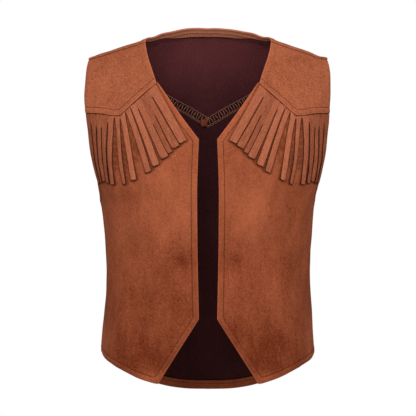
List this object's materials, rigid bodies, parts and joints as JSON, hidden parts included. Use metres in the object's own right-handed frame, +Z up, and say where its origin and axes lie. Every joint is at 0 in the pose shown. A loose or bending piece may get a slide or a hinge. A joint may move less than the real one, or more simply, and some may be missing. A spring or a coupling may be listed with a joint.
{
  "type": "child's fringed western vest",
  "caption": "Sleeveless suede-cloth vest, open at the front, with pointed yokes, slit fringe below them and a cutaway hem.",
  "frame": {"origin": "midway between the shoulders, at the height where they carry the vest", "axes": "+X to the wearer's left, +Z up, the front faces -Y"},
  "size_m": [0.2702, 0.1766, 0.4049],
  "materials": {
    "yoke_suede": "soft matt suede nap, light tan brown",
    "panel_suede": "soft matt suede nap, red brown",
    "fringe_suede": "soft matt suede nap with cut edges",
    "knit_inside": "fine dark maroon knitted reverse of the cloth",
    "brown_thread": "matt sewing thread",
    "tan_thread": "matt overlock thread"
  },
  "bodies": {
    "root": {"front_yoke_left": "yoke_suede", "front_yoke_right": "yoke_suede", "front_panel_left": "panel_suede", "front_panel_right": "panel_suede", "fringe_left": "fringe_suede", "fringe_right": "fringe_suede", "back_yoke": "yoke_suede", "back_panel": "panel_suede"}
  },
  "joints": []
}
